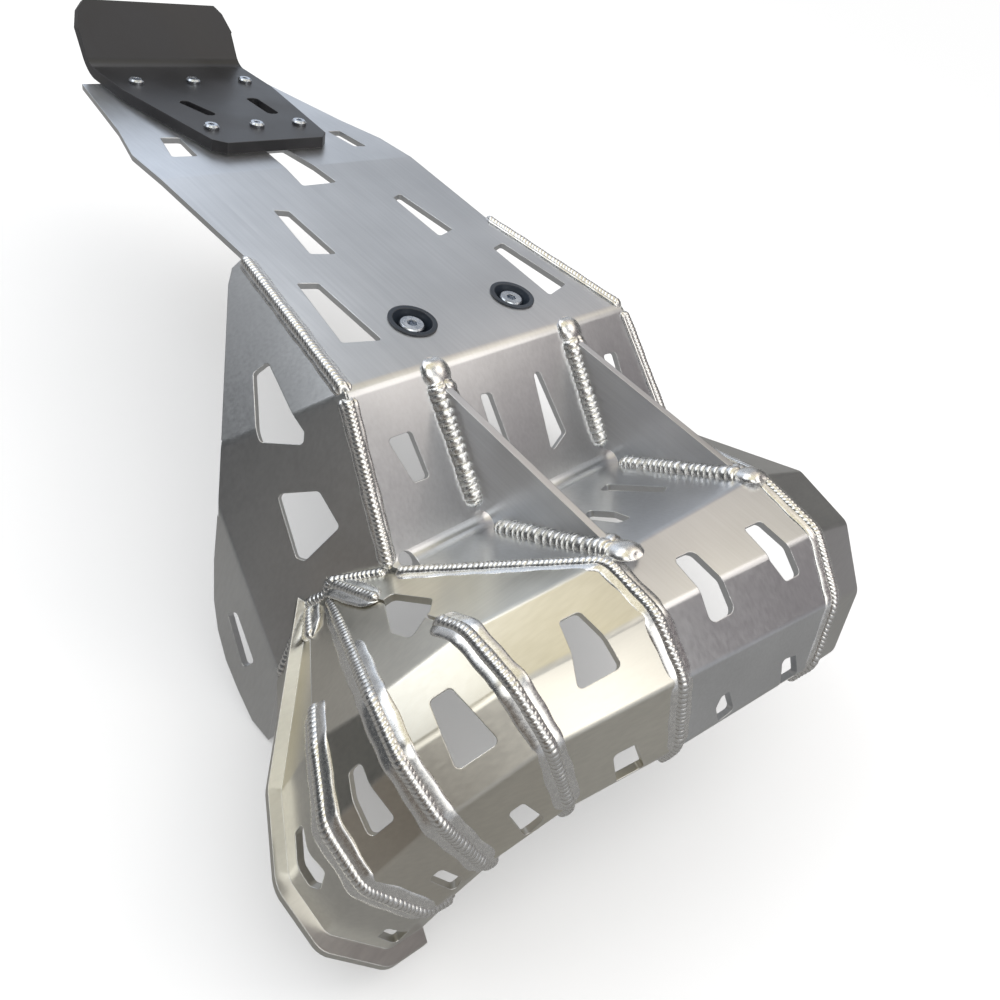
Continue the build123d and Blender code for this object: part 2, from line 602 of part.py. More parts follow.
def tube(points, radius):
    # a bead with BEAD_SIDES flat sides along a run of points, mitred at its corners and tapered at its ends
    count = len(points)
    ways = [(points[i + 1] - points[i]).normalized() for i in range(count - 1)]
    across = ways[0].cross(UP)
    across = across.normalized() if across.length > 0.1 else Vector(1, 0, 0)
    upward = across.cross(ways[0])
    spokes = []
    for k in range(BEAD_SIDES):
        turn = 2 * math.pi * (k + 0.5) / BEAD_SIDES
        spokes.append(across * (radius * math.cos(turn)) + upward * (radius * math.sin(turn)))
    tip = radius * 0.5
    rings = [[points[0] - ways[0] * tip + q * 0.5 for q in spokes], [points[0] + q for q in spokes]]
    for i in range(1, count):
        way = ways[i - 1]
        normal = way if i == count - 1 else (way + ways[i]).normalized()
        rings.append([p + way * (normal.dot(points[i] - p) / normal.dot(way)) for p in rings[-1]])
    last = points[-1]
    rings.append([last + ways[-1] * tip + (p - last) * 0.5 for p in rings[-1]])
    faces = [Face(Wire.make_polygon(rings[0], close=True)), Face(Wire.make_polygon(rings[-1], close=True))]
    for one, two in zip(rings, rings[1:]):
        for k in range(BEAD_SIDES):
            m = (k + 1) % BEAD_SIDES
            faces.append(Face(Wire.make_polygon([one[k], one[m], two[m], two[k]], close=True)))
    body = Solid(Shell(faces))
    return body if body.volume > 0 else Solid(Shell([-f for f in faces]))


def blob(centre, radius):
    # the round end of a bead, as rings of flat sides
    rings = []
    for k in range(BLOB_RINGS):
        tilt = math.pi * ((k + 0.6) / (BLOB_RINGS + 0.2) - 0.5)
        ring = []
        for q in range(BLOB_SIDES):
            turn = 2 * math.pi * q / BLOB_SIDES
            flat = radius * math.cos(tilt)
            ring.append(centre + Vector(flat * math.cos(turn), flat * math.sin(turn), radius * math.sin(tilt)))
        rings.append(ring)
    faces = [Face(Wire.make_polygon(rings[0], close=True)), Face(Wire.make_polygon(rings[-1], close=True))]
    for one, two in zip(rings, rings[1:]):
        for q in range(BLOB_SIDES):
            m = (q + 1) % BLOB_SIDES
            faces.append(Face(Wire.make_polygon([one[q], one[m], two[m], two[q]], close=True)))
    body = Solid(Shell(faces))
    return body if body.volume > 0 else Solid(Shell([-f for f in faces]))


def weld(points, outs, cutters, radius=BEAD_R, root=False):
    # a bead sunk into the corner of the sheets that it joins; "outs" point out of the sheets
    sunk = [p - o.normalized() * BEAD_SINK for p, o in zip(points, outs)]
    body = tube(sunk, radius)
    if root:
        # a straight bead ends inside the sheets' thickness
        way = (points[-1] - points[0]).normalized()
        out = outs[0].normalized()
        side = way.cross(out) * 15
        ends = [points[0] - way * 15, points[-1] + way * 15]
        under = prism([ends[0] - side, ends[0] + side, ends[1] + side, ends[1] - side],
                      plane_at(points[0], out), -20, -ROOT_DEPTH)
        body = main_solid(body - under)
    for c in cutters:
        body = body - c
    return main_solid(body)


def toward(a, b, amount):
    return a + (b - a).normalized() * amount


def seam_weld(seam_pts, apex, parts_a, parts_b, cutters, first=0, radius=BEAD_R, start=BEAD_R):
    # a bead round the guard along one seam, through the middles of the rounded bends
    pts = []
    outs = []
    for j in range(5):
        n0 = parts_a[j][0] + parts_b[j][0]
        if j == 0:
            pts.append(toward(apex, seam_pts[0], start))
            outs.append(n0)
        else:
            a = seam_pts[j - 1]
            before = apex if j == 1 else seam_pts[j - 2]
            last_n = parts_a[j - 1][0] + parts_b[j - 1][0]
            pts.append(toward(a, before, BEND_SET))
            outs.append(last_n)
            pts.append(toward(a, seam_pts[j], BEND_SET))
            outs.append(n0)
    pts.append(toward(seam_pts[4], seam_pts[3], RIM_GAP))
    outs.append(outs[-1])
    return weld(pts[first:], outs[first:], cutters, radius)


plate_right = Vector(WAIST_HALF, WAIST_Y, 0)
out_l = PLATE[0] + PANEL_U[0]
out_r = Vector(-out_l.X, out_l.Y, out_l.Z)
out_fl = FACE[0] + PANEL_M[0]
out_fr = Vector(-out_fl.X, out_fl.Y, out_fl.Z)
welds = {}
welds["plate_weld_left"] = weld([toward(FRONT_LEFT, WELD_START, 2), WELD_START], [out_l] * 2, [sheet_body, panel_l], BEAD_R, True)
welds["plate_weld_right"] = weld([toward(FRONT_RIGHT, plate_right, 2), plate_right], [out_r] * 2, [sheet_body, panel_r], BEAD_R, True)
welds["face_weld_left"] = weld([toward(FRONT_LEFT, FACE_LEFT, 6), toward(FACE_LEFT, FRONT_LEFT, 3)], [out_fl] * 2,
                               [sheet_body, panel_l, gore_b, welds["plate_weld_left"]], BEAD_R, True)
welds["face_weld_right"] = weld([toward(FRONT_RIGHT, FACE_RIGHT, 6), toward(FACE_RIGHT, FRONT_RIGHT, 3)], [out_fr] * 2,
                                [sheet_body, panel_r, gore_r, welds["plate_weld_right"]], BEAD_R, True)
welds["gore_weld_1"] = seam_weld(SEAM_3, FACE_LEFT, planes_a, planes_b, [sheet_body, gore_b, panel_l, welds["face_weld_left"]])
welds["gore_weld_2"] = seam_weld(SEAM_2, APEX_2, planes_b, planes_c, [gore_b, gore_c, opening_bc, panel_l], 1)
welds["gore_weld_3"] = seam_weld(SEAM_1, APEX_1, planes_c, planes_d, [gore_c, gore_d, panel_l])
short_run = [toward(APEX_0, SEAM_0[0], BEAD_R), toward(APEX_0, SEAM_0[0], SLIT_START)]
short_bead = weld(short_run, [planes_d[0][0] + planes_e[0][0]] * 2, [gore_d, gore_e, panel_l], END_BEAD_R)
welds["gore_weld_4"] = seam_weld(SEAM_0, APEX_0, planes_d, planes_e, [gore_d, gore_e, panel_l], 0, END_BEAD_R, SLIT_END)
welds["gore_weld_right"] = seam_weld(RIGHT_SEAM, FACE_RIGHT, planes_a, planes_r,
                                     [sheet_body, gore_r, panel_r, welds["face_weld_right"]])
panel_run = [FACE_LEFT, APEX_2, APEX_1, APEX_0, APEX_END]
panel_outs = [PANEL_M[0] + planes_b[0][0], PANEL_M[0] + planes_b[0][0], PANEL_M[0] + planes_c[0][0],
              PANEL_M[0] + planes_e[0][0], PANEL_M[0] + planes_e[0][0]]
welds["panel_weld_left"] = weld([toward(FACE_LEFT, APEX_2, 4)] + panel_run[1:4] + [toward(APEX_END, APEX_0, 3)], panel_outs,
                                [panel_l, gore_b, gore_c, gore_d, gore_e, sheet_body, short_bead] + [
                                    welds[k] for k in ("face_weld_left", "gore_weld_1", "gore_weld_2", "gore_weld_3", "gore_weld_4")])
welds["panel_weld_right"] = weld([toward(FACE_RIGHT, APEX_RIGHT, 4), APEX_RIGHT],
                                 [Vector(-panel_outs[0].X, panel_outs[0].Y, panel_outs[0].Z)] * 2,
                                 [panel_r, gore_r, sheet_body, welds["face_weld_right"], welds["gore_weld_right"]])


def gusset_weld(x, plate_body, end_s, near):
    # beads on the face and on the shelf, each with a round blob at its outer end, open at the relief
    solids = []
    runs = [(on_face(x, GUSSET_TOP), on_face(x, FACE_LENGTH - GUSSET_RELIEF - 2), FACE),
            (on_shelf(x, end_s), on_shelf(x, GUSSET_RELIEF + 2), SHELF)]
    for start, end, base in runs:
        body = tube([start, end], GUSSET_BEAD_R) + blob(toward(start, end, -1.0), BLOB_R)
        corners = [toward(start, end, -15), toward(end, start, -15)]
        wide = Vector(15, 0, 0)
        slab = prism([corners[0] - wide, corners[0] + wide, corners[1] + wide, corners[1] - wide], base, -20, -0.3)
        body = main_solid(body - slab)
        body = main_solid(body - sheet_body)
        body = main_solid(body - near)
        body = body - plate_body
        solids += [q for q in body.solids() if q.volume > 20]
    return solids


gusset_beads_l = gusset_weld(-GUSSET_X, gusset_l, GUSSET_END_LEFT, welds["gore_weld_1"])
gusset_beads_r = gusset_weld(GUSSET_X, gusset_r, GUSSET_END_RIGHT, welds["gore_weld_right"])

# linkage guard: thick plastic on the rear section, with a raised rear end
link_top = (REAR[0], REAR[1] + LINK_THICK)
rise_dir = rear_dir * math.cos(rad(LINK_RISE_ANGLE)) + REAR[0] * math.sin(rad(LINK_RISE_ANGLE))
rise_n = REAR[0] * math.cos(rad(LINK_RISE_ANGLE)) - rear_dir * math.sin(rad(LINK_RISE_ANGLE))
fold = on_rear(0, LINK_FOLD_S, LINK_THICK)
link_rise = plane_at(fold, rise_n)
link_front = plane_at(on_rear(0, LINK_FRONT_S), rear_dir)
link_end = plane_at(fold + rise_dir * LINK_RISE, rise_dir)
side_r = (Vector(1, 0, 0), LINK_WIDE_HALF + 1)
side_l = (Vector(-1, 0, 0), LINK_WIDE_HALF + 1)
link_facets = chain([link_top, link_rise], [(LINK_BEND, 5, True)], link_front, link_end, [side_l] * 2, [side_r] * 2)
link = strip_body(link_facets, LINK_THICK)
link_cuts = []
for side in (-1, 1):
    flat = [(LINK_FRONT_HALF, LINK_FRONT_S + 8), (LINK_WIDE_HALF, LINK_WIDE_S), (LINK_WIDE_HALF + 0.5, LINK_FOLD_S + 30)]
    flat += [(90, LINK_FOLD_S + 30), (90, 0), (LINK_FRONT_HALF - 8, 0), (LINK_FRONT_HALF - 8, LINK_FRONT_S)]
    link_cuts.append(prism([on_rear(side * x, q) for x, q in flat], REAR, -20, 30))
    corner = [(LINK_WIDE_HALF + 2, LINK_RISE - 22), (LINK_TOP_HALF, LINK_RISE - 6), (LINK_TOP_HALF - 7, LINK_RISE + 1),
              (LINK_WIDE_HALF + 20, LINK_RISE + 1)]
    link_cuts.append(prism([fold + rise_dir * w + Vector(side * x, 0, 0) for x, w in corner], link_rise, -20, 10))
    slot = [(side * 24, 80), (side * 34, 80), (side * 34, 115), (side * 24, 115)]
    if side < 0:
        slot = [(-18, 84), (-26, 80), (-35, 111), (-27, 115)]
    link_cuts.append(rounded_cut([on_rear(x, q) for x, q in slot], REAR[0], 4.0, 15))
for x, q in SCREWS:
    link_cuts.append(Plane(origin=on_rear(x, q), z_dir=REAR[0]).location * Cylinder(SCREW_R + GAP, 40))
link = cut_all(link, link_cuts)

# fasteners of the linkage guard
def hex_prism(across, tall):
    return extrude(RegularPolygon(across / 2, 6, major_radius=False), tall)


head = Cylinder(SCREW_HEAD_R, SCREW_HEAD_TALL, align=(Align.CENTER, Align.CENTER, Align.MIN))
head = chamfer(head.edges().group_by(Axis.Z)[-1], SCREW_HEAD_TALL * 0.4)
head = head - Pos(0, 0, SCREW_HEAD_TALL - 2) * hex_prism(SCREW_HEX, 3)
stem = Pos(0, 0, -SCREW_LONG) * Cylinder(SCREW_R, SCREW_LONG, align=(Align.CENTER, Align.CENTER, Align.MIN))
screw = main_solid(head + stem)
low = Align.MIN
washer = Cylinder(WASHER_R, WASHER_TALL, align=(Align.CENTER, Align.CENTER, low)) - Cylinder(SCREW_R + GAP, 20)
nut = hex_prism(NUT_ACROSS, NUT_TALL) - Cylinder(SCREW_R + GAP / 2, 20)
screws = []
nuts = []
washers = []
for x, q in SCREWS:
    seat = Plane(origin=on_rear(x, q, LINK_THICK), x_dir=(1, 0, 0), z_dir=REAR[0]).location
    screws.append(seat * screw)
    back = Plane(origin=on_rear(x, q, -SHEET - WASHER_TALL), x_dir=(1, 0, 0), z_dir=REAR[0]).location
    washers.append(back * washer)
    back = Plane(origin=on_rear(x, q, -SHEET - WASHER_TALL - NUT_TALL), x_dir=(1, 0, 0), z_dir=REAR[0]).location
    nuts.append(back * nut)

# mount bolts in their dished cups
cup_floor = -CUP_DEPTH
profile = [(BOLT_R + GAP, cup_floor - CUP_FLOOR), (CUP_R, cup_floor - CUP_FLOOR), (CUP_R, 0),
           (CUP_LIP_R, 0), (CUP_LIP_R, CUP_LIP), (CUP_R - 1.5, CUP_LIP), (HEAD_R + 1.2, cup_floor), (BOLT_R + GAP, cup_floor)]
cup_face = make_face(Polyline([(x, 0, z) for x, z in profile], close=True))
cup = main_solid(revolve(cup_face, Axis.Z, 360))
bolt_head = Cylinder(HEAD_R, HEAD_TALL, align=(Align.CENTER, Align.CENTER, low))
bolt_head = chamfer(bolt_head.edges().group_by(Axis.Z)[-1], 0.8)
bolt_head = bolt_head - Pos(0, 0, HEAD_TALL - 4.5) * hex_prism(HEX_ACROSS, 6)
neck = Pos(0, 0, -CUP_FLOOR - 1) * Cylinder(BOLT_R, CUP_FLOOR + 1, align=(Align.CENTER, Align.CENTER, low))
groove = Pos(0, 0, -CUP_FLOOR - 1 - UNDERCUT) * Cylinder(BOLT_R - 0.6, UNDERCUT, align=(Align.CENTER, Align.CENTER, low))
thread = Pos(0, 0, -BOLT_LONG) * Cylinder(BOLT_R, BOLT_LONG - CUP_FLOOR - 1 - UNDERCUT, align=(Align.CENTER, Align.CENTER, low))
bolt = main_solid(bolt_head + neck + groove + thread)
bolts = []
cups = []
for side in (-1, 1):
    cups.append(Pos(side * BOLT_HALF, BOLT_Y, 0) * cup)
    bolts.append(Pos(side * BOLT_HALF, BOLT_Y, cup_floor) * bolt)


# the part's origin is midway between the two bolts, where their threads begin
MOUNT_Z = -CUP_DEPTH - CUP_FLOOR - 1 - UNDERCUT - MOUNT_STEP
to_mount = Location((0, -BOLT_Y, -MOUNT_Z))


def save(solids, name):
    placed = [to_mount * solid for solid in solids]
    shape = placed[0] if len(placed) == 1 else Compound(children=placed)
    shape.label = name
    export_step(shape, "parts/" + name + ".step")


save([sheet_body], "main_sheet")
save([gore_b], "guard_gore_1")
save([gore_c], "guard_gore_2")
save([gore_d], "guard_gore_3")
save([gore_e], "guard_gore_4")
save([gore_r], "guard_gore_right")
save([panel_l], "side_panel_left")
save([panel_r], "side_panel_right")
save([gusset_l], "gusset_left")
save([gusset_r], "gusset_right")
for name, body in welds.items():
    save([body] if name != "gore_weld_4" else [short_bead, body], name)
save(gusset_beads_l, "gusset_weld_left")
save(gusset_beads_r, "gusset_weld_right")
save([link], "linkage_guard")
save(screws, "guard_screws")
save(nuts, "guard_nuts")
save(washers, "guard_washers")
save(bolts, "mount_bolts")
save(cups, "mount_cups")
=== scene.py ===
import bpy
import math
import numpy as np
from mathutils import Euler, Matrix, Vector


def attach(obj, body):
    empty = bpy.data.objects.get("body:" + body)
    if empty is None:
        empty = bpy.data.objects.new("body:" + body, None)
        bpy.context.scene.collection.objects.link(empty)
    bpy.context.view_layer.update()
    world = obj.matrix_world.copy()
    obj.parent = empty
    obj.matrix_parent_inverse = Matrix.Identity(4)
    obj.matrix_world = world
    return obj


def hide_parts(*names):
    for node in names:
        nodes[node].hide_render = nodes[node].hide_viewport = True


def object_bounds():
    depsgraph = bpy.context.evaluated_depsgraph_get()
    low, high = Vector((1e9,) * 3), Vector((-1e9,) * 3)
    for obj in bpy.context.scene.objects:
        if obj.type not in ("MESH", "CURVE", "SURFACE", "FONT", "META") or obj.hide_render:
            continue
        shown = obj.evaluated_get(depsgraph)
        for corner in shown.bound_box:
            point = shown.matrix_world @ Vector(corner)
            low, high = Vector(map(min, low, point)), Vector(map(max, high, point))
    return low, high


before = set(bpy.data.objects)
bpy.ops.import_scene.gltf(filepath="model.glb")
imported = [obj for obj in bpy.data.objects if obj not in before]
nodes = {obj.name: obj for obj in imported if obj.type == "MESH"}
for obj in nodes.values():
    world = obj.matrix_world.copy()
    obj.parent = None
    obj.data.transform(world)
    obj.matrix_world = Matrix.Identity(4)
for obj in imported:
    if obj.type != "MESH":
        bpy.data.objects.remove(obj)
cad_low, cad_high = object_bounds()

# Everything ends in metres, in the part's own frame: X across, +Y to the rear, +Z out of the underside.
# The weld lines are worked out in millimetres from the plate's front bend, as the part's source does.
MM = 0.001
SHIFT = Vector((0, -39.0, 15.0))
UP = Vector((0, 0, 1))

# sizes of the sheets whose corners the welds run along; the guard's bend is in degrees
FRONT_HALF = 120.5
WAIST_HALF = 103.0
WAIST_Y = 130.0
FACE_ANGLE = math.radians(41.4)
FACE_LENGTH = 97.6
FACE_END_HALF = 132.5
SHELF_ANGLE = math.radians(35.5)
GUARD_BEND_ANGLE = 34.0
RIM_WIDTH = 24.0
GUSSET_X = 59.4
GUSSET_TOP = 8.0
GUSSET_RELIEF = 9.0
GUSSET_END_LEFT = 98.0
GUSSET_END_RIGHT = 102.0

# beads: half-widths, how deep they sit, how far they reach below their line, and the ridges under them
BEAD_R = 3.8
END_BEAD_R = 3.5
BEAD_SINK = 1.0
BEAD_LOW = 1.7
GORE_RIDGE = 8.2
PLATE_RIDGE = 5.4
PANEL_RIDGE = 6.4
RIDGE_TALL = 2.0
RIDGE_SINK = 1.2

# how far from a corner a bead starts or ends, bends at a fold, or is broken by a slit or an opening
PLATE_TRIM = 2.0
FACE_TRIM_TOP = 4.0
FACE_TRIM_END = 1.0
PANEL_TRIM = 2.0
PANEL_END_TRIM = 3.0
BEND_SET = 3.0
RIM_GAP = 4.0
SLIT_START = 27.0
SLIT_END = 72.0
OPENING_FAR = 42.0
OPENING_NEAR = 19.0

# the gussets' wide fillets, and the flattened blobs at their outer ends with the run each is laid on
FILLET_R = 7.0
FILLET_ASIDE = 3.4
FILLET_TILT = 0.8
FILLET_SINK = 0.6
FILLET_PITCH = 4.6
FILLET_TRIM = 2.0
BLOB_R = 10.0
BLOB_FLAT = 0.52
BLOB_CORE_R = 5.0
BLOB_PAST = 1.0
DOME_LOW = 0.05

# ripples: how far apart, how deep on top and at the sides, how far they lean back, and how round
RIPPLE = 2.7
RIPPLE_TOP = 0.11
RIPPLE_SIDE = 0.03
RIPPLE_LEAN = 2.3
RIPPLE_ROUND = 0.55

# slow waves that keep a bead from being even: (height, rate per millimetre, multiple of the bead's seed)
STEP_WAVES = [(0.22, 0.21, 1), (0.12, 0.083, 2)]
SIZE_WAVES = [(0.035, 0.13, 1), (0.025, 0.37, 3)]
SEED_STEP = 1.7
GUSSET_SEED_LEFT = 0.4
GUSSET_SEED_RIGHT = 2.1

# how finely a bead is made, and the share of its size that is left at its very ends
RING_STEP = 0.36
RING_SIDES = 20
MIN_RINGS = 8
SOFTEN = 60
END_SHARE = 0.06

# each sheet's tint, with painted reflection tones that differ from sheet to sheet, and how its brushing
# is stretched along X, Y and Z
SHEET_TINTS_AND_PAINTED_REFLECTIONS = {
    "main_sheet": ((0.80, 0.815, 0.84), (1.0, 0.02, 1.0)),
    "side_panel_left": ((0.76, 0.77, 0.78), (1.0, 1.0, 0.03)),
    "side_panel_right": ((0.76, 0.77, 0.78), (1.0, 1.0, 0.03)),
    "gusset_left": ((0.80, 0.81, 0.84), (1.0, 0.03, 1.0)),
    "gusset_right": ((0.80, 0.81, 0.84), (1.0, 0.03, 1.0)),
    "guard_gore_1": ((0.82, 0.80, 0.73), (0.03, 1.0, 1.0)),
    "guard_gore_2": ((0.79, 0.76, 0.68), (0.03, 1.0, 1.0)),
    "guard_gore_3": ((0.78, 0.75, 0.68), (0.03, 1.0, 1.0)),
    "guard_gore_4": ((0.76, 0.75, 0.71), (0.03, 1.0, 1.0)),
    "guard_gore_right": ((0.76, 0.76, 0.75), (0.03, 1.0, 1.0)),
}
ZINC_NODES = ["guard_screws", "guard_nuts", "guard_washers", "mount_bolts"]

# patterns on the surfaces: how fine, how many layers, how rough
BRUSHING = (520.0, 2.0, 0.45)
SHEET_CLOUDS = (11.0, 3.0, 0.5)
WELD_GRAIN = (700.0, 3.0, 0.6)
PLASTIC_GRAIN = (1400.0, 2.0, 0.5)
PLASTIC_CLOUDS = (25.0, 3.0, 0.5)
PLATING = (260.0, 3.0, 0.6)

# a pattern goes from its first tone to its second between these two of its values
TONE_START = 0.30
TONE_END = 0.70
PATCH_START = 0.35
GROOVE_START = 0.25
GROOVE_END = 0.95

# tones: factors on a tint, painted highlights on the edges, the darkest and brightest of the metals, and
# the plastics
CLOUD_DARK = 0.88
CLOUD_LIGHT = 1.05
STREAK_DARK = 0.94
PATCH_LIGHT = 1.7
# painted highlights, which lighten the colour along the edges of the sheet, the plastics and the zinc
SHEET_EDGE_PAINTED_HIGHLIGHT = (0.93, 0.94, 0.95, 1.0)
PLASTIC_EDGE_PAINTED_HIGHLIGHT = (0.07, 0.07, 0.075, 1.0)
ZINC_EDGE_PAINTED_HIGHLIGHT = (0.92, 0.93, 0.95, 1.0)
WELD_DARK = (0.78, 0.78, 0.78)
WELD_BRIGHT = (0.96, 0.955, 0.94)
# painted shade, which darkens the grooves between the weld's ripples
WELD_GROOVE_PAINTED_SHADE = (0.52, 0.50, 0.47)
ZINC_DARK = (0.52, 0.56, 0.62)
ZINC_BRIGHT = (0.76, 0.80, 0.86)
GUARD_BLACK = (0.018, 0.018, 0.020)
# the cups' blue-grey is their own, darkened to paint the shade in the recess round each bolt
CUP_PAINTED_SHADE = (0.020, 0.026, 0.036)

# roughness: a metal's smoothest and roughest, and a plastic's middle with how far it goes to either side
SHEET_ROUGH = (0.28, 0.33)
WELD_ROUGH = (0.20, 0.34)
ZINC_ROUGH = (0.20, 0.34)
GUARD_ROUGH = 0.34
CUP_ROUGH = 0.32
PLASTIC_SMOOTHER = 0.06
PLASTIC_ROUGHER = 0.08

# fine relief, as its strength and its depth in metres
SHEET_RELIEF = (0.05, 0.00003)
WELD_RELIEF = (0.25, 0.00012)
PLASTIC_RELIEF = (0.12, 0.00008)
ZINC_RELIEF = (0.1, 0.00008)

# edges: radii in metres of their rounding and of their painted highlight, and the likeness of the two
# normals at which the painted highlight is full and gone
SHEET_EDGE_R = 0.0007
PLASTIC_EDGE_R = 0.0010
ZINC_EDGE_R = 0.0004
HIGHLIGHT_FULL = 0.80
HIGHLIGHT_GONE = 0.96
EDGE_SAMPLES = 6

# shading of the bends: points this near are joined, and edges over this angle stay sharp
JOIN_DISTANCE = 0.000005
SHARP_ANGLE = math.radians(22.0)
NORMAL_WEIGHT = 80

# sockets of the colour mix node
MIX_FACTOR = 0
MIX_FIRST = 6
MIX_SECOND = 7
MIX_RESULT = 2


def new_material(name):
    material = bpy.data.materials.new(name)
    material.use_nodes = True
    tree = material.node_tree
    return material, tree, tree.nodes["Principled BSDF"]


def grey(value):
    return (value, value, value)


def ramp(tree, source, first, second, start=TONE_START, end=TONE_END):
    # the first colour where the source is low, the second where it is high
    node = tree.nodes.new("ShaderNodeValToRGB")
    for i, (place, colour) in enumerate(((start, first), (end, second))):
        stop = node.color_ramp.elements[i]
        stop.position = place
        stop.color = (*colour, 1.0)
    tree.links.new(source, node.inputs["Fac"])
    return node.outputs["Color"]


def noise(tree, coords, scale, detail, rough):
    node = tree.nodes.new("ShaderNodeTexNoise")
    node.inputs["Scale"].default_value = scale
    node.inputs["Detail"].default_value = detail
    node.inputs["Roughness"].default_value = rough
    tree.links.new(coords, node.inputs["Vector"])
    return node.outputs["Fac"]


def stretched(tree, coords, scale):
    node = tree.nodes.new("ShaderNodeMapping")
    node.inputs["Scale"].default_value = scale
    tree.links.new(coords, node.inputs["Vector"])
    return node.outputs["Vector"]


def place_of(tree):
    return tree.nodes.new("ShaderNodeTexCoord").outputs["Object"]


def relief(tree, height, strength, depth, shader, normal=None):
    node = tree.nodes.new("ShaderNodeBump")
    node.inputs["Strength"].default_value = strength
    node.inputs["Distance"].default_value = depth
    tree.links.new(height, node.inputs["Height"])
    if normal is not None:
        tree.links.new(normal, node.inputs["Normal"])
    tree.links.new(node.outputs["Normal"], shader.inputs["Normal"])


def roughness(tree, pattern, smoothest, roughest, shader):
    tree.links.new(ramp(tree, pattern, grey(smoothest), grey(roughest)), shader.inputs["Roughness"])


def mixed(tree, factor, first, second, kind="MIX"):
    node = tree.nodes.new("ShaderNodeMix")
    node.data_type = "RGBA"
    node.blend_type = kind
    for number, value in ((MIX_FACTOR, factor), (MIX_FIRST, first), (MIX_SECOND, second)):
        if isinstance(value, (float, tuple)):
            node.inputs[number].default_value = value
        else:
            tree.links.new(value, node.inputs[number])
    return node.outputs[MIX_RESULT]


def painted_edge_highlight(tree, radius):
    # the mask of the painted highlight: 1 along the cut edges, 0 on the flats, with the rounded normal
    # for the highlight there
    soft = tree.nodes.new("ShaderNodeBevel")
    soft.samples = EDGE_SAMPLES
    soft.inputs["Radius"].default_value = radius
    flat = tree.nodes.new("ShaderNodeNewGeometry")
    likeness = tree.nodes.new("ShaderNodeVectorMath")
    likeness.operation = "DOT_PRODUCT"
    tree.links.new(soft.outputs["Normal"], likeness.inputs[0])
    tree.links.new(flat.outputs["Normal"], likeness.inputs[1])
    edge_highlight = ramp(tree, likeness.outputs["Value"], grey(1.0), grey(0.0), HIGHLIGHT_FULL, HIGHLIGHT_GONE)
    return edge_highlight, soft.outputs["Normal"]


def sheet_material(name, colour, stretch):
    # rolled aluminium: fine brushing along one direction, faint clouds, and a painted highlight along
    # the cut edges
    # the colour is the sheet's tint with painted reflection tones in it
    material, tree, shader = new_material(name)
    coords = place_of(tree)
    brushed = noise(tree, stretched(tree, coords, stretch), *BRUSHING)
    light = tuple(min(1.0, c * CLOUD_LIGHT) for c in colour)
    dark = tuple(c * CLOUD_DARK for c in colour)
    clouded = ramp(tree, noise(tree, coords, *SHEET_CLOUDS), dark, light)
    streaks = ramp(tree, brushed, grey(STREAK_DARK), grey(1.0))
    streaked = mixed(tree, 1.0, clouded, streaks, "MULTIPLY")
    edge_highlight, normal = painted_edge_highlight(tree, SHEET_EDGE_R)
    # the colour is lightened along the edges: a painted highlight
    tree.links.new(mixed(tree, edge_highlight, streaked, SHEET_EDGE_PAINTED_HIGHLIGHT), shader.inputs["Base Color"])
    shader.inputs["Metallic"].default_value = 1.0
    roughness(tree, brushed, *SHEET_ROUGH, shader)
    relief(tree, brushed, *SHEET_RELIEF, shader, normal)
    return material


def weld_material(name):
    # bright weld metal, with painted shade darkening the grooves between the ripples
    material, tree, shader = new_material(name)
    grain = noise(tree, place_of(tree), *WELD_GRAIN)
    groove = tree.nodes.new("ShaderNodeAttribute")
    groove.attribute_name = "groove"
    bright = ramp(tree, grain, WELD_DARK, WELD_BRIGHT)
    shade = ramp(tree, groove.outputs["Fac"], grey(1.0), WELD_GROOVE_PAINTED_SHADE, GROOVE_START, GROOVE_END)
    tree.links.new(mixed(tree, 1.0, bright, shade, "MULTIPLY"), shader.inputs["Base Color"])
    shader.inputs["Metallic"].default_value = 1.0
    roughness(tree, grain, *WELD_ROUGH, shader)
    relief(tree, grain, *WELD_RELIEF, shader)
    return material


def plastic_material(name, colour, rough):
    # moulded black plastic with a fine grain and slightly worn, lighter patches
    material, tree, shader = new_material(name)
    coords = place_of(tree)
    grain = noise(tree, coords, *PLASTIC_GRAIN)
    cloud = noise(tree, coords, *PLASTIC_CLOUDS)
    light = tuple(c * PATCH_LIGHT for c in colour)
    edge_highlight, normal = painted_edge_highlight(tree, PLASTIC_EDGE_R)
    patched = ramp(tree, cloud, colour, light, PATCH_START)
    # the colour is lightened along the edges: a painted highlight
    tree.links.new(mixed(tree, edge_highlight, patched, PLASTIC_EDGE_PAINTED_HIGHLIGHT), shader.inputs["Base Color"])
    roughness(tree, cloud, rough - PLASTIC_SMOOTHER, rough + PLASTIC_ROUGHER, shader)
    relief(tree, grain, *PLASTIC_RELIEF, shader, normal)
    return material


def zinc_material(name):
    # zinc-plated steel with a faint blue tint and a mottled plating
    material, tree, shader = new_material(name)
    plating = noise(tree, place_of(tree), *PLATING)
    edge_highlight, normal = painted_edge_highlight(tree, ZINC_EDGE_R)
    plated = ramp(tree, plating, ZINC_DARK, ZINC_BRIGHT)
    # the colour is lightened along the edges: a painted highlight
    tree.links.new(mixed(tree, edge_highlight, plated, ZINC_EDGE_PAINTED_HIGHLIGHT), shader.inputs["Base Color"])
    shader.inputs["Metallic"].default_value = 1.0
    roughness(tree, plating, *ZINC_ROUGH, shader)
    relief(tree, plating, *ZINC_RELIEF, shader, normal)
    return material


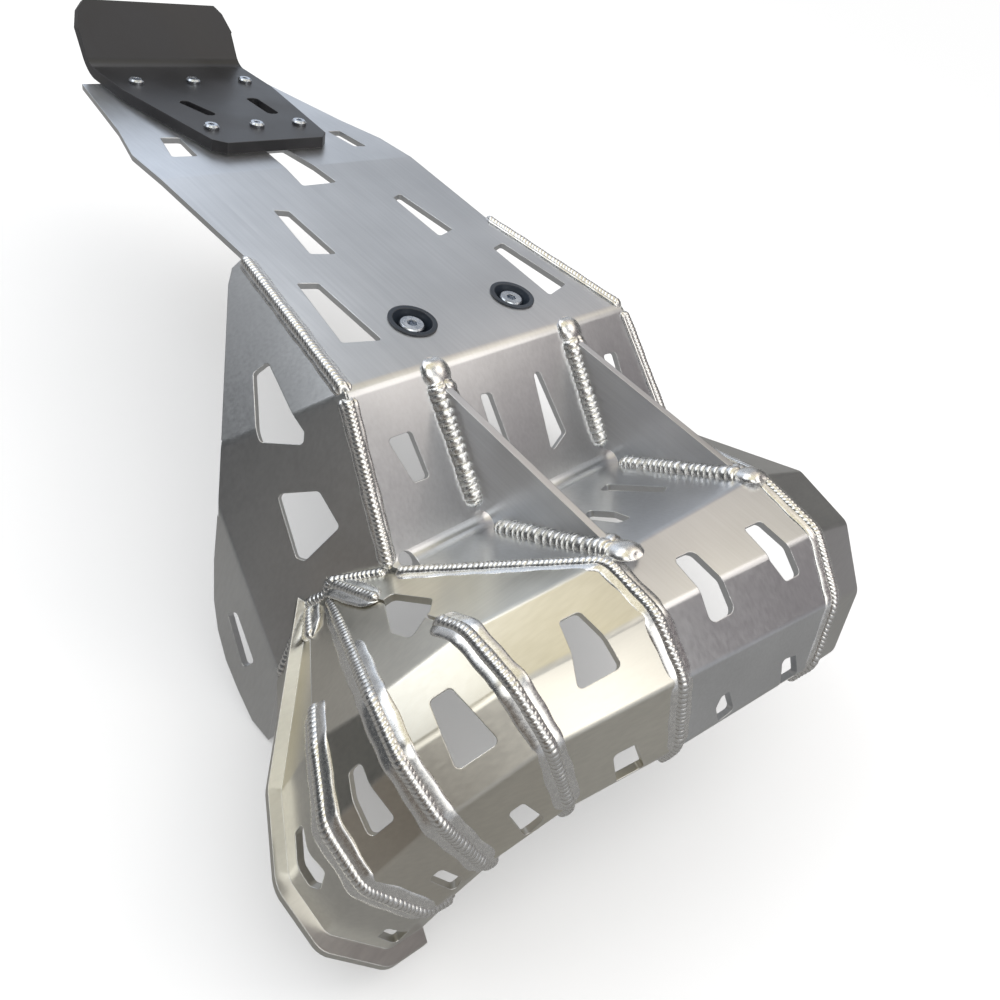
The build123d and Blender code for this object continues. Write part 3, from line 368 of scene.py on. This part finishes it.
def smoothing_group():
    # joins the seams of the loaded mesh and shades it smooth, save at its sharp edges
    group = bpy.data.node_groups.new("soft_bends", "GeometryNodeTree")
    group.interface.new_socket("Geometry", in_out="INPUT", socket_type="NodeSocketGeometry")
    group.interface.new_socket("Geometry", in_out="OUTPUT", socket_type="NodeSocketGeometry")
    given = group.nodes.new("NodeGroupInput")
    result = group.nodes.new("NodeGroupOutput")
    merge = group.nodes.new("GeometryNodeMergeByDistance")
    merge.inputs["Distance"].default_value = JOIN_DISTANCE
    faces = group.nodes.new("GeometryNodeSetShadeSmooth")
    faces.domain = "FACE"
    angle = group.nodes.new("GeometryNodeInputMeshEdgeAngle")
    sharp = group.nodes.new("FunctionNodeCompare")
    sharp.operation = "GREATER_THAN"
    sharp.inputs[1].default_value = SHARP_ANGLE
    edges = group.nodes.new("GeometryNodeSetShadeSmooth")
    edges.domain = "EDGE"
    edges.inputs["Shade Smooth"].default_value = False
    group.links.new(given.outputs[0], merge.inputs["Geometry"])
    group.links.new(merge.outputs[0], faces.inputs["Geometry"])
    group.links.new(faces.outputs[0], edges.inputs["Geometry"])
    group.links.new(angle.outputs["Unsigned Angle"], sharp.inputs[0])
    group.links.new(sharp.outputs[0], edges.inputs["Selection"])
    group.links.new(edges.outputs[0], result.inputs[0])
    return group


soft_bends = smoothing_group()


def dress(name, material):
    # gives a node its material and smooths its bends
    obj = nodes[name]
    obj.data.materials.clear()
    obj.data.materials.append(material)
    smooth = obj.modifiers.new("soft_bends", "NODES")
    smooth.node_group = soft_bends
    weigh = obj.modifiers.new("weighted", "WEIGHTED_NORMAL")
    weigh.mode = "FACE_AREA"
    weigh.weight = NORMAL_WEIGHT
    weigh.keep_sharp = True


# each sheet's colour holds painted reflection tones as well as its tint
for name, (tint_and_painted_reflection, stretch) in SHEET_TINTS_AND_PAINTED_REFLECTIONS.items():
    dress(name, sheet_material("aluminium_" + name, tint_and_painted_reflection, stretch))
zinc_steel = zinc_material("zinc_steel")
for name in ZINC_NODES:
    dress(name, zinc_steel)
dress("linkage_guard", plastic_material("black_plastic", GUARD_BLACK, GUARD_ROUGH))
# the cups' dark colour is partly painted shade of the recess round each bolt
dress("mount_cups", plastic_material("cup_painted_shade", CUP_PAINTED_SHADE, CUP_ROUGH))
weld_metal = weld_material("weld_metal")

# corners of the plate, its front face and its side panels
FACE_END_Y = -FACE_LENGTH * math.cos(FACE_ANGLE)
FACE_END_Z = -FACE_LENGTH * math.sin(FACE_ANGLE)
FACE_LEFT = Vector((-FACE_END_HALF, FACE_END_Y, FACE_END_Z))
FACE_RIGHT = Vector((FACE_END_HALF, FACE_END_Y, FACE_END_Z))
FRONT_LEFT = Vector((-FRONT_HALF, 0, 0))
FRONT_RIGHT = Vector((FRONT_HALF, 0, 0))
PLATE_LEFT = Vector((-WAIST_HALF, WAIST_Y, 0))
PLATE_RIGHT = Vector((WAIST_HALF, WAIST_Y, 0))
APEX_2 = FACE_LEFT + Vector((-23.5, 19.7, -15.5))
APEX_1 = FACE_LEFT + Vector((-26, 15.7, -20.5))
APEX_0 = FACE_LEFT + Vector((-34.5, 20.7, -28.5))
APEX_END = FACE_LEFT + Vector((-58.5, 6.7, -67))
APEX_RIGHT = Vector((-APEX_2.x, APEX_2.y, APEX_2.z))
BEND_1_REAR = Vector((-172.3, 31.3, -42.7))

# outward directions of the plate, the front face and the shelf, and the ways down the last two
PLATE_OUT = Vector((0, 0, 1))
FACE_OUT = Vector((0, -math.sin(FACE_ANGLE), math.cos(FACE_ANGLE)))
FACE_WAY = Vector((0, -math.cos(FACE_ANGLE), -math.sin(FACE_ANGLE)))
SHELF_OUT = Vector((0, math.sin(SHELF_ANGLE), math.cos(SHELF_ANGLE)))
SHELF_WAY = Vector((0, -math.cos(SHELF_ANGLE), math.sin(SHELF_ANGLE)))


def toward(a, b, amount):
    return a + (b - a).normalized() * amount


def mirrored(v):
    return Vector((-v.x, v.y, v.z))


def facing(normal, like):
    return normal if normal.dot(like) > 0 else -normal


def seam(corner, yaw, roll, pitch, widths):
    # the points of a folded seam: its corner is given across the plate, ahead of the inner bend and
    # above it, its turns in degrees, and then the widths of its facets down to the rim
    turn = Euler((math.radians(pitch), math.radians(roll), math.radians(yaw)), "XYZ")
    ahead = Vector((0, -1, 0))
    inward = Vector((0, 0, -1))
    ahead.rotate(turn)
    inward.rotate(turn)
    points = [Vector((corner[0], FACE_END_Y - corner[1], FACE_END_Z + corner[2]))]
    angle = 0.0
    for width in widths:
        step = ahead * math.cos(math.radians(angle)) + inward * math.sin(math.radians(angle))
        points.append(points[-1] + step * width)
        angle += GUARD_BEND_ANGLE
    return points


def normals(a, b, shelf):
    # the outward directions of the facets between two seams, from the shelf to the rim
    found = [shelf]
    for j in range(len(a) - 1):
        across = (b[j + 1] - a[j]).cross(a[j + 1] - b[j]).normalized()
        found.append(facing(across, found[-1]))
    return found


def gore_shelf(a, b, apex_a, apex_b):
    return facing((b[0] - apex_a).cross(a[0] - apex_b).normalized(), UP)


def gore_normals(a, b, apex_a, apex_b):
    return normals(a, b, gore_shelf(a, b, apex_a, apex_b))


# seams of the guard from its right-hand end to its left-hand end
RIGHT_END = seam((122.5, 97.3, 47), -26, 12, -5.5, (47.5, 43, 39, RIM_WIDTH))
RIGHT_SEAM = seam((66, 87.5, 62.2), -12, 10, -1.5, (48.5, 40, 42, RIM_WIDTH))
SEAM_3 = seam((-71, 80.6, 57.2), -5.5, -4, -2, (35.5, 35, 44.5, RIM_WIDTH))
SEAM_2 = seam((-150.5, 66.8, 42.5), -3, -17, -4, (34, 32.5, 45, RIM_WIDTH))
SEAM_1 = seam((-196, 63.3, 19.5), -15, -36, 1, (29, 33, 44.5, RIM_WIDTH))
SEAM_0 = seam((-219, 58.8, -7), -45.5, -54.5, 24, (34, 31, 41, RIM_WIDTH))
LEFT_END = seam((-231, 53.3, -46), -54, -60, 32, (40.5, 30, 34.5, RIM_WIDTH))

# outward directions of the guard's facets and of the left-hand panel's
OUT_MIDDLE = normals(SEAM_3, RIGHT_SEAM, SHELF_OUT)
OUT_1 = gore_normals(SEAM_3, SEAM_2, FACE_LEFT, APEX_2)
OUT_2 = gore_normals(SEAM_2, SEAM_1, APEX_2, APEX_1)
OUT_3 = gore_normals(SEAM_1, SEAM_0, APEX_1, APEX_0)
OUT_4 = gore_normals(SEAM_0, LEFT_END, APEX_0, APEX_END)
OUT_RIGHT = gore_normals(RIGHT_SEAM, RIGHT_END, FACE_RIGHT, APEX_RIGHT)
OUT_PANEL = facing((FACE_LEFT - FRONT_LEFT).cross(APEX_0 - FRONT_LEFT).normalized(), UP)
OUT_UPPER = facing((PLATE_LEFT - FRONT_LEFT).cross(BEND_1_REAR - FRONT_LEFT).normalized(), UP)


def straight(start, end, out, start_trim=0.0, end_trim=0.0):
    # a straight run between two corners, cut back at its ends
    return [toward(start, end, start_trim), toward(end, start, end_trim)], [out] * 2


def stub(apex, corner, out, far):
    # a short run from an apex along its seam
    return [toward(apex, corner, BEAD_R), toward(apex, corner, far)], [out] * 2


def seam_run(points, apex, outs_a, outs_b, start=BEAD_R):
    # a run round the guard along a seam, through the middles of its rounded bends
    line = [toward(apex, points[0], start)]
    outs = [outs_a[0] + outs_b[0]]
    for j in range(1, len(points)):
        corner = points[j - 1]
        before = apex if j == 1 else points[j - 2]
        line += [toward(corner, before, BEND_SET), toward(corner, points[j], BEND_SET)]
        outs += [outs_a[j - 1] + outs_b[j - 1], outs_a[j] + outs_b[j]]
    line.append(toward(points[-1], points[-2], RIM_GAP))
    outs.append(outs[-1])
    return line, outs


def softened(rows):
    for _ in range(SOFTEN):
        rows[1:-1] = (rows[:-2] + 2 * rows[1:-1] + rows[2:]) * 0.25
    return rows


def unit(rows):
    return rows / np.linalg.norm(rows, axis=1)[:, None]


def spaced(points, outs):
    # even places along a run: how far along they are, the line, and its directions up, on and sideways
    corners = np.array([list(point) for point in points])
    ups = unit(np.array([list(out) for out in outs]))
    far = np.concatenate(([0.0], np.cumsum(np.linalg.norm(np.diff(corners, axis=0), axis=1))))
    along = np.linspace(0, far[-1], max(MIN_RINGS, int(far[-1] / RING_STEP) + 1))
    line = softened(np.stack([np.interp(along, far, corners[:, k]) for k in range(3)], 1))
    up = softened(np.stack([np.interp(along, far, ups[:, k]) for k in range(3)], 1))
    way = unit(np.gradient(line, axis=0))
    side = unit(np.cross(way, up))
    return along, line, np.cross(side, way), way, side


def wavered(values, along, seed, waves):
    for height, rate, times in waves:
        values = values + height * np.sin(along * rate + times * seed)
    return values


def fullness(along, radius, seed):
    # how the size of a bead wanders along its run, and how its ends round off
    ends = np.clip(np.minimum(along, along[-1] - along) / radius, 0.0, 1.0)
    cap = np.maximum(END_SHARE, np.sqrt(1 - (1 - ends) ** 2))
    return wavered(1, along, seed, SIZE_WAVES), cap


def rings_round(run, wide, tall, cap, sink):
    # a ring of points at each place of a run, leaning back at its sides
    _, line, up, way, side = run
    turn = np.linspace(0, 2 * math.pi, RING_SIDES, endpoint=False)
    across = np.sin(turn)[None, :, None]
    above = np.cos(turn)[None, :, None]
    high = np.where(above > 0, tall[:, None, None], np.minimum(BEAD_LOW, tall)[:, None, None])
    lean = -RIPPLE_LEAN * cap[:, None, None] * (1 - above)
    rings = line[:, None, :] + side[:, None, :] * wide[:, None, None] * across
    return rings + up[:, None, :] * (high * above - sink) + way[:, None, :] * lean


def bead(points, outs, radius, seed, sink=BEAD_SINK, pitch=RIPPLE):
    # a bead whose ripples are crescents
    run = spaced(points, outs)
    along = run[0]
    phase = wavered(along / pitch, along, seed, STEP_WAVES)
    groove = 1 - np.abs(np.sin(np.pi * phase)) ** RIPPLE_ROUND
    wander, cap = fullness(along, radius, seed)
    wide = radius * wander * cap * (1 - RIPPLE_SIDE * groove)
    tall = radius * wander * cap * (1 - RIPPLE_TOP * groove)
    return rings_round(run, wide, tall, cap, sink), groove


def ridge(points, outs, radius):
    # the low, smooth metal under a bead
    run = spaced(points, outs)
    wander, cap = fullness(run[0], radius, 0.0)
    rings = rings_round(run, radius * wander * cap, RIDGE_TALL * wander * cap, cap, RIDGE_SINK)
    return rings, np.zeros(len(rings))


def blob(points, outs, seed):
    # a smooth, flattened ball
    run = spaced(points, outs)
    along = run[0]
    wander, cap = fullness(along, BLOB_CORE_R, seed)
    dome = np.sqrt(np.clip(BLOB_R ** 2 - (along - BLOB_R) ** 2, DOME_LOW, None))
    wide = np.maximum(BLOB_CORE_R * wander * cap, dome)
    tall = np.maximum(BLOB_CORE_R * BLOB_FLAT * wander * cap, dome * BLOB_FLAT)
    rings = rings_round(run, wide, tall, cap, 0.0)
    return rings, np.zeros(len(rings))


def bead_piece(node, runs):
    # one piece of weld metal that stands for a node of the part
    verts = []
    faces = []
    grooves = []
    for rings, groove in runs:
        base = len(verts)
        count = len(rings)
        verts += [tuple((Vector(point) + SHIFT) * MM) for ring in rings.tolist() for point in ring]
        grooves += [value for value in groove.tolist() for _ in range(RING_SIDES)]
        for i in range(count - 1):
            near = base + i * RING_SIDES
            far = near + RING_SIDES
            for k in range(RING_SIDES):
                after = (k + 1) % RING_SIDES
                faces.append((near + k, near + after, far + after, far + k))
        faces.append(tuple(base + k for k in reversed(range(RING_SIDES))))
        faces.append(tuple(base + (count - 1) * RING_SIDES + k for k in range(RING_SIDES)))
    mesh = bpy.data.meshes.new("rippled_" + node)
    mesh.from_pydata(verts, [], faces)
    # the groove of each point, by which the weld metal paints shade into the grooves
    mesh.attributes.new("groove", "FLOAT", "POINT").data.foreach_set("value", grooves)
    mesh.polygons.foreach_set("use_smooth", [True] * len(mesh.polygons))
    mesh.materials.append(weld_metal)
    mesh.validate()
    mesh.update()
    piece = bpy.data.objects.new("rippled_" + node, mesh)
    bpy.context.scene.collection.objects.link(piece)
    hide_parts(node)
    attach(piece, "root")


def on_face(x, down):
    return Vector((x, 0, 0)) + FACE_WAY * down


def on_shelf(x, ahead):
    return Vector((x, FACE_END_Y, FACE_END_Z)) + SHELF_WAY * ahead


def gusset_beads(x, end, seed):
    # a fillet on each side of the gusset, and a round blob at the outer end of each pair
    made = []
    runs = [(on_face(x, GUSSET_TOP), on_face(x, FACE_LENGTH - GUSSET_RELIEF - FILLET_TRIM), FACE_OUT),
            (on_shelf(x, end), on_shelf(x, GUSSET_RELIEF + FILLET_TRIM), SHELF_OUT)]
    for outer, inner, out in runs:
        for side in (-1, 1):
            aside = Vector((side * FILLET_ASIDE, 0, 0))
            tilted = out + Vector((side * FILLET_TILT, 0, 0))
            made.append(bead([outer + aside, inner + aside], [tilted] * 2, FILLET_R, seed + side,
                             FILLET_SINK, FILLET_PITCH))
        round_end = [toward(outer, inner, -BLOB_PAST - BLOB_R), toward(outer, inner, BLOB_R - BLOB_PAST)]
        made.append(blob(round_end, [out] * 2, seed))
    return made


# the beads of each node: half-width, half-width of the ridge under them, and their runs;
# an opening breaks the second seam's bead, and a slit the last seam's
plate_out = PLATE_OUT + OUT_UPPER
face_out = FACE_OUT + OUT_PANEL
panel_line = [toward(FACE_LEFT, APEX_2, PANEL_TRIM), APEX_2, APEX_1, APEX_0,
              toward(APEX_END, APEX_0, PANEL_END_TRIM)]
panel_outs = [OUT_PANEL + out for out in (OUT_1[0], OUT_1[0], OUT_2[0], OUT_4[0], OUT_4[0])]
opening_end = (SEAM_2[0] - APEX_2).length - OPENING_NEAR
BEADS = {
    "plate_weld_left": (BEAD_R, PLATE_RIDGE, [straight(FRONT_LEFT, PLATE_LEFT, plate_out, PLATE_TRIM)]),
    "plate_weld_right": (BEAD_R, PLATE_RIDGE,
                         [straight(FRONT_RIGHT, PLATE_RIGHT, mirrored(plate_out), PLATE_TRIM)]),
    "face_weld_left": (BEAD_R, PLATE_RIDGE, [straight(FRONT_LEFT, FACE_LEFT, face_out,
                                                      FACE_TRIM_TOP, FACE_TRIM_END)]),
    "face_weld_right": (BEAD_R, PLATE_RIDGE, [straight(FRONT_RIGHT, FACE_RIGHT, mirrored(face_out),
                                                       FACE_TRIM_TOP, FACE_TRIM_END)]),
    "gore_weld_1": (BEAD_R, GORE_RIDGE, [seam_run(SEAM_3, FACE_LEFT, OUT_MIDDLE, OUT_1)]),
    "gore_weld_2": (BEAD_R, GORE_RIDGE, [stub(APEX_2, SEAM_2[0], OUT_1[0] + OUT_2[0], OPENING_FAR),
                                         seam_run(SEAM_2, APEX_2, OUT_1, OUT_2, opening_end)]),
    "gore_weld_3": (BEAD_R, GORE_RIDGE, [seam_run(SEAM_1, APEX_1, OUT_2, OUT_3)]),
    "gore_weld_4": (END_BEAD_R, GORE_RIDGE, [stub(APEX_0, SEAM_0[0], OUT_3[0] + OUT_4[0], SLIT_START),
                                             seam_run(SEAM_0, APEX_0, OUT_3, OUT_4, SLIT_END)]),
    "gore_weld_right": (BEAD_R, GORE_RIDGE, [seam_run(RIGHT_SEAM, FACE_RIGHT, OUT_MIDDLE, OUT_RIGHT)]),
    "panel_weld_left": (BEAD_R, PANEL_RIDGE, [(panel_line, panel_outs)]),
    "panel_weld_right": (BEAD_R, PANEL_RIDGE,
                         [straight(FACE_RIGHT, APEX_RIGHT, mirrored(panel_outs[0]), PANEL_TRIM)]),
}
for number, (node, (radius, ridge_r, runs)) in enumerate(BEADS.items()):
    beads = [bead(points, outs, radius, number * SEED_STEP) for points, outs in runs]
    ridges = [ridge(points, outs, ridge_r) for points, outs in runs]
    bead_piece(node, beads + ridges)
bead_piece("gusset_weld_left", gusset_beads(-GUSSET_X, GUSSET_END_LEFT, GUSSET_SEED_LEFT))
bead_piece("gusset_weld_right", gusset_beads(GUSSET_X, GUSSET_END_RIGHT, GUSSET_SEED_RIGHT))

# the stage, in metres: a pale floor, a white world, and a tent round the part that only reflections see
FLOOR_DROP = 0.001
FLOOR_HALF = 8.0
FLOOR_COLOUR = (0.99, 0.99, 0.99, 1.0)
WORLD_COLOUR = (1.0, 1.0, 1.0, 1.0)
TENT_R = 3.0
TENT_SEGMENTS = 48
TENT_RINGS = 24
TENT_TONE = (0.44, 0.45, 0.47, 1.0)
TENT_FLOOR_TONE = (0.29, 0.285, 0.275, 1.0)
TENT_LIFT = 0.0003

# the tent's cards: direction, colour, and how near to that direction a card starts and is full
CARDS = [
    ((0.39, 0.82, 0.42), (0.80, 0.88, 1.00), 0.84, 0.985),
    ((0.69, 0.52, 0.50), (0.43, 0.45, 0.48), 0.84, 0.97),
    ((-0.20, 0.51, 0.83), (0.60, 0.61, 0.63), 0.90, 0.97),
    ((-0.10, 0.18, 0.97), (0.86, 0.79, 0.58), 0.88, 0.96),
    ((0.26, 0.23, 0.92), (0.86, 0.79, 0.58), 0.93, 0.98),
    ((0.68, 0.25, 0.68), (0.66, 0.60, 0.56), 0.95, 0.985),
    ((0.69, -0.02, 0.73), (1.25, 1.14, 0.95), 0.965, 0.992),
    ((0.68, -0.55, 0.46), (0.20, 0.18, 0.185), 0.80, 0.95),
    ((-0.84, 0.37, 0.36), (0.08, 0.083, 0.086), 0.62, 0.90),
    ((-0.75, -0.60, 0.25), (0.16, 0.14, 0.12), 0.85, 0.97),
    ((0.95, 0.0, 0.2), (0.12, 0.12, 0.12), 0.86, 0.97),
    ((0.20, 0.59, 0.77), (2.4, 2.4, 2.4), 0.972, 0.992),
    ((-0.34, -0.34, 0.86), (2.2, 2.2, 2.1), 0.93, 0.98),
    ((0.04, -0.81, 0.50), (1.9, 1.85, 1.75), 0.93, 0.98),
]


def square(name, z, material):
    # a large square that lies level
    corners = [(x * FLOOR_HALF, y * FLOOR_HALF, z) for x, y in ((-1, -1), (1, -1), (1, 1), (-1, 1))]
    mesh = bpy.data.meshes.new(name)
    mesh.from_pydata(corners, [], [(0, 1, 2, 3)])
    mesh.materials.append(material)
    obj = bpy.data.objects.new(name, mesh)
    bpy.context.scene.collection.objects.link(obj)
    return obj


def glowing_material(name):
    # a plain glow, which the renderer doesn't aim at as it does at lamps
    material = bpy.data.materials.new(name)
    material.use_nodes = True
    material.cycles.emission_sampling = "NONE"
    tree = material.node_tree
    tree.nodes.clear()
    glow = tree.nodes.new("ShaderNodeEmission")
    surface = tree.nodes.new("ShaderNodeOutputMaterial")
    tree.links.new(glow.outputs["Emission"], surface.inputs["Surface"])
    return material, tree, glow.inputs["Color"]


def card_material(name):
    # the tone of the tent in each direction: its cards, each blended over the ones before it
    material, tree, glow_colour = glowing_material(name)
    outward = tree.nodes.new("ShaderNodeVectorMath")
    outward.operation = "NORMALIZE"
    tree.links.new(place_of(tree), outward.inputs[0])
    tone = TENT_TONE
    for direction, colour, low, full in CARDS:
        near = tree.nodes.new("ShaderNodeVectorMath")
        near.operation = "DOT_PRODUCT"
        near.inputs[1].default_value = Vector(direction).normalized()
        tree.links.new(outward.outputs["Vector"], near.inputs[0])
        blend = tree.nodes.new("ShaderNodeMapRange")
        blend.interpolation_type = "SMOOTHSTEP"
        blend.inputs["From Min"].default_value = low
        blend.inputs["From Max"].default_value = full
        tree.links.new(near.outputs["Value"], blend.inputs["Value"])
        tone = mixed(tree, blend.outputs["Result"], tone, (*colour, 1.0))
    tree.links.new(tone, glow_colour)
    return material


def only_reflected(obj):
    obj.visible_camera = False
    obj.visible_diffuse = False
    obj.visible_transmission = False
    obj.visible_volume_scatter = False
    obj.visible_shadow = False


floor_paint, _, floor_shader = new_material("floor_paint")
floor_shader.inputs["Base Color"].default_value = FLOOR_COLOUR
floor_shader.inputs["Roughness"].default_value = 1.0
floor_shader.inputs["Specular IOR Level"].default_value = 0.0
floor_z = cad_low.z - FLOOR_DROP
floor = square("floor", floor_z, floor_paint)

# the white world is also the background above the floor
world = bpy.data.worlds.new("studio")
bpy.context.scene.world = world
world.use_nodes = True
back = world.node_tree.nodes["Background"]
back.inputs["Color"].default_value = WORLD_COLOUR
back.inputs["Strength"].default_value = 1.0
world.cycles.sampling_method = "NONE"

bpy.ops.mesh.primitive_uv_sphere_add(segments=TENT_SEGMENTS, ring_count=TENT_RINGS, radius=TENT_R)
tent = bpy.context.object
tent.name = "studio_tent"
tent.data.materials.append(card_material("tent_cards"))
only_reflected(tent)

# the tent's own floor, in a mid grey
tent_grey, _, tent_floor_colour = glowing_material("tent_floor")
tent_floor_colour.default_value = TENT_FLOOR_TONE
tent_floor = square("tent_floor", floor_z + TENT_LIFT, tent_grey)
only_reflected(tent_floor)

# lamps: name, place, size, power and colour, all aimed at the middle of the part
LAMP_AIM = Vector((0, -0.04, -0.035))
LAMPS = [
    ("key", (-0.7, 1.0, 1.5), (1.0, 0.8), 5.0, (0.92, 0.96, 1.0)),
    ("warm", (0.9, -0.6, 1.3), (0.8, 0.8), 3.0, (1.0, 0.94, 0.86)),
]


def lamp(name, place, size, power, colour):
    data = bpy.data.lights.new(name, "AREA")
    data.shape = "RECTANGLE"
    data.size = size[0]
    data.size_y = size[1]
    data.energy = power
    data.color = colour
    obj = bpy.data.objects.new(name, data)
    obj.location = place
    obj.rotation_mode = "QUATERNION"
    obj.rotation_quaternion = (LAMP_AIM - Vector(place)).to_track_quat("-Z", "Y")
    bpy.context.scene.collection.objects.link(obj)


for row in LAMPS:
    lamp(*row)

# the camera stands where the photograph was taken from: metres, degrees, and shares of the width
CAMERA_PLACE = (-0.34311, -0.29113, 0.27994)
CAMERA_TURN = (45.2204, -15.8179, -43.4335)
FOCAL = 0.790
CENTRE = (0.50397, 0.50227)
SENSOR = 36.0
NEAR_CLIP = 0.01
lens = bpy.data.cameras.new("camera")
lens.sensor_width = SENSOR
lens.lens = SENSOR * FOCAL
lens.shift_x = 0.5 - CENTRE[0]
lens.shift_y = CENTRE[1] - 0.5
lens.clip_start = NEAR_CLIP
camera = bpy.data.objects.new("camera", lens)
camera.location = CAMERA_PLACE
camera.rotation_euler = Euler([math.radians(a) for a in CAMERA_TURN], "XYZ")
bpy.context.scene.collection.objects.link(camera)
bpy.context.scene.camera = camera
bpy.context.scene.view_settings.view_transform = "Standard"
